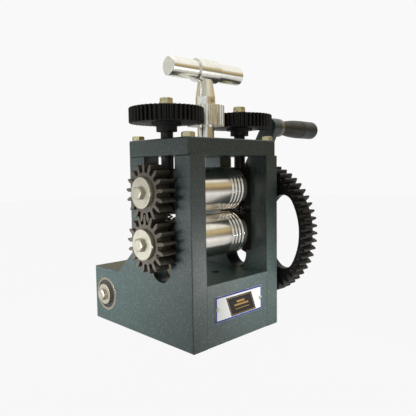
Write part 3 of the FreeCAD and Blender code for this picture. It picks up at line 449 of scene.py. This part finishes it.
finishes["bronze"] = cast_alloy("bush_bronze", srgb(190, 150, 92), srgb(150, 112, 64), 0.3)
finishes["rivet"] = cast_alloy("pale_rivet", srgb(206, 202, 184), srgb(168, 160, 136), 0.24)
finishes["seal"] = moulded("seal_rubber", srgb(34, 34, 35), srgb(24, 24, 25), 0.55, 0.5, 0.01)
grip_seam = 136.5
finishes["grip_plastic"] = moulded("grip_plastic", srgb(60, 62, 64), srgb(46, 49, 51), 0.42,
                                   0.35, 0.012, front=(grip_seam, srgb(50, 47, 38)))
print("small finishes", 4)

# %% [markdown]
# ## The printed name plate
#
# The plate is aluminium with a printed face: a blue line round a white ground and a dark
# slanted panel. The print is drawn as a formula of the place on the plate. Where x plus a
# share of z lies between two limits, the point is inside a slanted band. A fine gold rule
# and three plain stripes stand where a maker would put a name.

# %% Print on the name plate
plate = Finish("printed_plate", roughness=0.4, Specular_IOR_Level=0.2)
plate_middle_height, plate_half_width, plate_half_height = 30.5, 30.0, 11.0
lean = 0.392
millimetres = plate.stretched(MM, MM, MM, (0, 0, plate_middle_height))
separate = plate.tree.nodes.new("ShaderNodeSeparateXYZ")
plate.plug(separate.inputs[0], millimetres)
across, up = Wire(plate, separate.outputs[0]), Wire(plate, separate.outputs[2])


def band(value, low, high):
    return (value > low) * (value < high)


slanted = across + lean * up
panel = band(slanted, -14.35, 18.28) * band(up, -9.1, 7.95)
rule = panel * (1 - band(slanted, -12.9, 16.8) * band(up, -7.9, 6.7))
rule = rule * band(slanted, -13.3, 17.2) * band(up, -8.2, 7.05)
stripes = (band(slanted, -7.0, 11.0) * (band(up, -1.2, 0.4) + band(up, -4.2, -3.6))
           + band(slanted, -3.0, 7.0) * band(up, 1.6, 3.4))
frame_line = (1 - band(abs(across), -1.0, plate_half_width - 1.6)
              * band(abs(up), -1.0, plate_half_height - 1.5))
frame_line = (frame_line * (abs(across) < plate_half_width - 0.1)
              * (abs(up) < plate_half_height - 0.1))
ground = plate.blend(plate.noise(0.4, detail=2), srgb(212, 213, 214), srgb(228, 228, 228))
print_colour = plate.blend(frame_line, ground, srgb(34, 50, 128))
print_colour = plate.blend(panel, print_colour, srgb(12, 12, 13))
print_colour = plate.blend(rule + stripes, print_colour, srgb(158, 124, 66))
finishes["plate_face"] = plate.paint(print_colour, 0.34 + 0.1 * plate.noise(0.6))
print("plate printed")

# %% [markdown]
# ## Dress the CAD nodes
#
# The imported record says which finish each node takes. A CAD node keeps its own mesh and
# only gets a material, so one loop dresses the whole mill. The crank arm then gets the
# enamel with the lighter tan boss band, whose warm tone is a painted reflection.

# %% Finishes on the CAD nodes
for part in frame["record"]["subparts"]:
    mesh = frame["nodes"][part["node"]].data
    mesh.materials.clear()
    mesh.materials.append(finishes[part["material_slot"]])
frame["nodes"]["crank_arm"].data.materials[0] = arm_paint

# %% [markdown]
# ## New pieces
#
# Every new piece is a bmesh that becomes an object at the origin. Its place is in its
# mesh, as it is for the CAD nodes. One helper does that, smooths the faces that meet at
# a shallow angle, and fastens the piece to a body when one is given.

# %% From bmesh to a piece
SMOOTH_ANGLE = math.radians(35)


def make_piece(name, shape, slot, body=None):
    """An object from a bmesh, fastened to a body when one is given."""
    bmesh.ops.remove_doubles(shape, verts=shape.verts, dist=1e-7)
    bmesh.ops.recalc_face_normals(shape, faces=shape.faces)
    mesh = bpy.data.meshes.new(name)
    shape.to_mesh(mesh)
    shape.free()
    mesh.shade_smooth()
    mesh.set_sharp_from_angle(angle=SMOOTH_ANGLE)
    mesh.materials.append(finishes[slot])
    piece = bpy.data.objects.new(name, mesh)
    bpy.context.scene.collection.objects.link(piece)
    if body:
        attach(piece, body)
    return piece


print("pieces are made with", make_piece.__name__)

# %% [markdown]
# ## The lifting springs
#
# A coil spring stands between the two bearing blocks on each side and lifts the upper roll
# when the handle is turned back. A spring's ends are wound close so that they sit flat,
# and only the turns between them are open. Spinning a small ring of wire round the axis
# with a rise at each step gives the helix, and a change of rise between three spins gives
# the closed ends. On the mill the lower end stays with the housing and the upper end rises
# with the blocks; here the piece is not fastened to either body.

# %% Springs between the blocks
spring_x, spring_y = 47.0, -33.5
spring_low, spring_high = 102.7, 113.3
wire, coil_radius, wire_sides = 1.4, 4.0, 12
end_turns, open_turns, steps_per_turn = 1.0, 2.0, 40
end_rise = wire + 0.06


def wind_spring(side):
    """Both closed ends and the open turns of one spring."""
    shape = bmesh.new()
    ring = bmesh.ops.create_circle(shape, segments=wire_sides, radius=wire / 2 * MM)["verts"]
    middle = Vector((side * spring_x, spring_y, spring_low + wire / 2 + 0.15)) * MM
    stand = Matrix.Translation(middle + Vector((coil_radius * MM, 0, 0)))
    bmesh.ops.transform(shape, verts=ring, matrix=stand @ Matrix.Rotation(math.pi / 2, 4, "X"))
    free_height = spring_high - spring_low - wire - 0.3
    open_rise = (free_height - 2 * end_turns * end_rise) / open_turns
    bmesh.ops.contextual_create(shape, geom=list(shape.edges))
    front = list(shape.edges)
    for turns, rise in ((end_turns, end_rise), (open_turns, open_rise), (end_turns, end_rise)):
        steps = round(turns * steps_per_turn)
        spun = bmesh.ops.spin(shape, geom=front, cent=middle, axis=(0, 0, 1),
                              dvec=(0, 0, rise * MM / steps_per_turn),
                              angle=2 * math.pi * turns, steps=steps)
        front = [part for part in spun["geom_last"] if isinstance(part, bmesh.types.BMEdge)]
    bmesh.ops.contextual_create(shape, geom=front)
    print("open turns rise", round(open_rise, 2), "mm each")
    return shape


springs = wind_spring(-1)
other = bpy.data.meshes.new("other_spring")
second = wind_spring(1)
second.to_mesh(other)
second.free()
springs.from_mesh(other)
bpy.data.meshes.remove(other)
wound = make_piece("wound_block_springs", springs, "spring_steel")
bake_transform(wound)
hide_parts("block_springs")

# %% [markdown]
# ## The bench and the room
#
# The crank swings lower than the mill's foot, so a real mill stands at the edge of a
# bench. The floor here is a plain pale bench top that ends just outside the housing, with
# the same pale ground a little way below. Both are stage pieces, not part of the mill.
# They glow a little instead of being lit, so that the floor and the backdrop are one even
# pale tone with no horizon, and only the camera sees them.

# %% Pale floor with a bench edge
stage_white = Finish("pale_floor", roughness=1.0, Emission_Strength=0.93, Specular_IOR_Level=0.0)
stage_white.shader.inputs["Base Color"].default_value = (0.01, 0.01, 0.01, 1)
stage_white.shader.inputs["Emission Color"].default_value = (1, 1, 1, 1)
bench_edge_x, bench_drop, floor_reach = 76.0, 260.0, 6000.0


def stage_piece(name, shape):
    mesh = bpy.data.meshes.new(name)
    shape.to_mesh(mesh)
    shape.free()
    mesh.materials.append(stage_white.material)
    piece = bpy.data.objects.new(name, mesh)
    bpy.context.scene.collection.objects.link(piece)
    piece.visible_diffuse = piece.visible_glossy = piece.visible_shadow = False


bench = bmesh.new()
bmesh.ops.create_cube(bench, size=1.0)
bmesh.ops.scale(bench, vec=Vector((floor_reach, 2 * floor_reach, bench_drop)) * MM,
                verts=bench.verts)
bmesh.ops.translate(bench, vec=Vector((bench_edge_x - floor_reach / 2, 0, -bench_drop / 2)) * MM,
                    verts=bench.verts)
stage_piece("bench_top", bench)
ground_plane = bmesh.new()
bmesh.ops.create_grid(ground_plane, x_segments=1, y_segments=1, size=floor_reach * MM)
bmesh.ops.translate(ground_plane, vec=(0, 0, -bench_drop * MM), verts=ground_plane.verts)
stage_piece("pale_ground", ground_plane)
print("bench edge at x =", bench_edge_x, "mm")

# %% [markdown]
# ## Light
#
# Polished metal shows the room that it stands in, so the room is painted as two ramps over
# height: a warm one with a pale floor and a bright ceiling, and a brighter one for the
# side with the window, at negative X. The camera sees a plain pale backdrop instead, and
# matt surfaces get much less of the room than glossy ones, which keeps the inside of the
# housing dark. Four soft lamps do the rest: one above, one low at the left, one low and
# narrow at the front for the foot, and a weak wide one for the front of the tower.

# %% World and lamps
backdrop, room_in_metal, room_on_matt = 0.947, 0.95, 0.14
world = bpy.data.worlds.new("studio")
bpy.context.scene.world = world
world.use_nodes = True
room = Nodes(world.node_tree)
world.node_tree.nodes.clear()
direction = world.node_tree.nodes.new("ShaderNodeSeparateXYZ")
room.plug(direction.inputs[0], room.add("ShaderNodeTexCoord", output="Generated"))
towards_x, upwards = Wire(room, direction.outputs[0]), Wire(room, direction.outputs[2])
level = upwards * 0.5 + 0.5
warm_room = room.add("ShaderNodeValToRGB", {"stops": [
    (0.0, (0.50, 0.49, 0.47, 1)), (1.0, (1.0, 1.0, 1.0, 1)), (0.30, (0.70, 0.69, 0.67, 1)),
    (0.385, (0.88, 0.87, 0.86, 1)), (0.45, (0.38, 0.37, 0.35, 1)), (0.50, (0.12, 0.09, 0.05, 1)),
    (0.57, (0.40, 0.30, 0.15, 1)), (0.64, (0.66, 0.52, 0.28, 1)), (0.68, (0.44, 0.36, 0.20, 1)),
    (0.74, (1.0, 0.97, 0.90, 1))]}, {"Fac": level})
window_side = room.add("ShaderNodeValToRGB", {"stops": [
    (0.0, (0.42, 0.42, 0.42, 1)), (1.0, (0.90, 0.92, 0.92, 1)), (0.42, (0.66, 0.67, 0.67, 1)),
    (0.62, (0.76, 0.79, 0.80, 1)), (0.70, (0.40, 0.38, 0.30, 1))]}, {"Fac": level})
at_window = room.add("ShaderNodeMapRange", {}, {
    "Value": towards_x, "From Min": -0.2, "From Max": -0.6})
light_in_room = room.add("ShaderNodeMix", {"data_type": "RGBA"},
                         {0: at_window, 6: warm_room, 7: window_side}, output=2)
on_matt = room.add("ShaderNodeLightPath", output="Is Diffuse Ray")
room_strength = room_in_metal - (room_in_metal - room_on_matt) * on_matt
fill = room.add("ShaderNodeBackground", {}, {"Color": light_in_room, "Strength": room_strength})
seen = room.add("ShaderNodeBackground", {}, {"Color": (1, 1, 1, 1), "Strength": backdrop})
direct = room.add("ShaderNodeLightPath", output="Is Camera Ray")
surface = world.node_tree.nodes.new("ShaderNodeOutputWorld")
room.plug(surface.inputs["Surface"], room.add("ShaderNodeMixShader", {},
                                              {0: direct, 1: fill, 2: seen}))


def lamp(name, place, target, width, height_of_lamp, power, colour, spread=180):
    """A rectangular area lamp that points at a target; lengths in millimetres."""
    data = bpy.data.lights.new(name, "AREA")
    data.shape, data.size, data.size_y = "RECTANGLE", width * MM, height_of_lamp * MM
    data.energy, data.color, data.spread = power, colour, math.radians(spread)
    made = bpy.data.objects.new(name, data)
    bpy.context.scene.collection.objects.link(made)
    made.location = Vector(place) * MM
    made.rotation_mode = "QUATERNION"
    made.rotation_quaternion = (Vector(target) * MM - made.location).to_track_quat("-Z", "Y")
    made.visible_camera = False
    return made


lamp("overhead", (0, 0, 900), (0, 0, 100), 600, 600, 2.4, (1.0, 0.99, 0.96))
lamp("left_low", (-330, 100, 56), (-55, 65, 52), 160, 100, 0.22, (1.0, 1.0, 1.0), spread=62)
lamp("front_low", (110, -330, 32), (30, -72, 32), 90, 36, 0.05, (1.0, 1.0, 0.98), spread=38)
lamp("front_wide", (190, -480, 60), (10, -72, 90), 220, 160, 0.06, (1.0, 1.0, 0.98), spread=120)
bpy.context.scene.view_settings.view_transform = "Standard"
print("four lamps and a soft room")
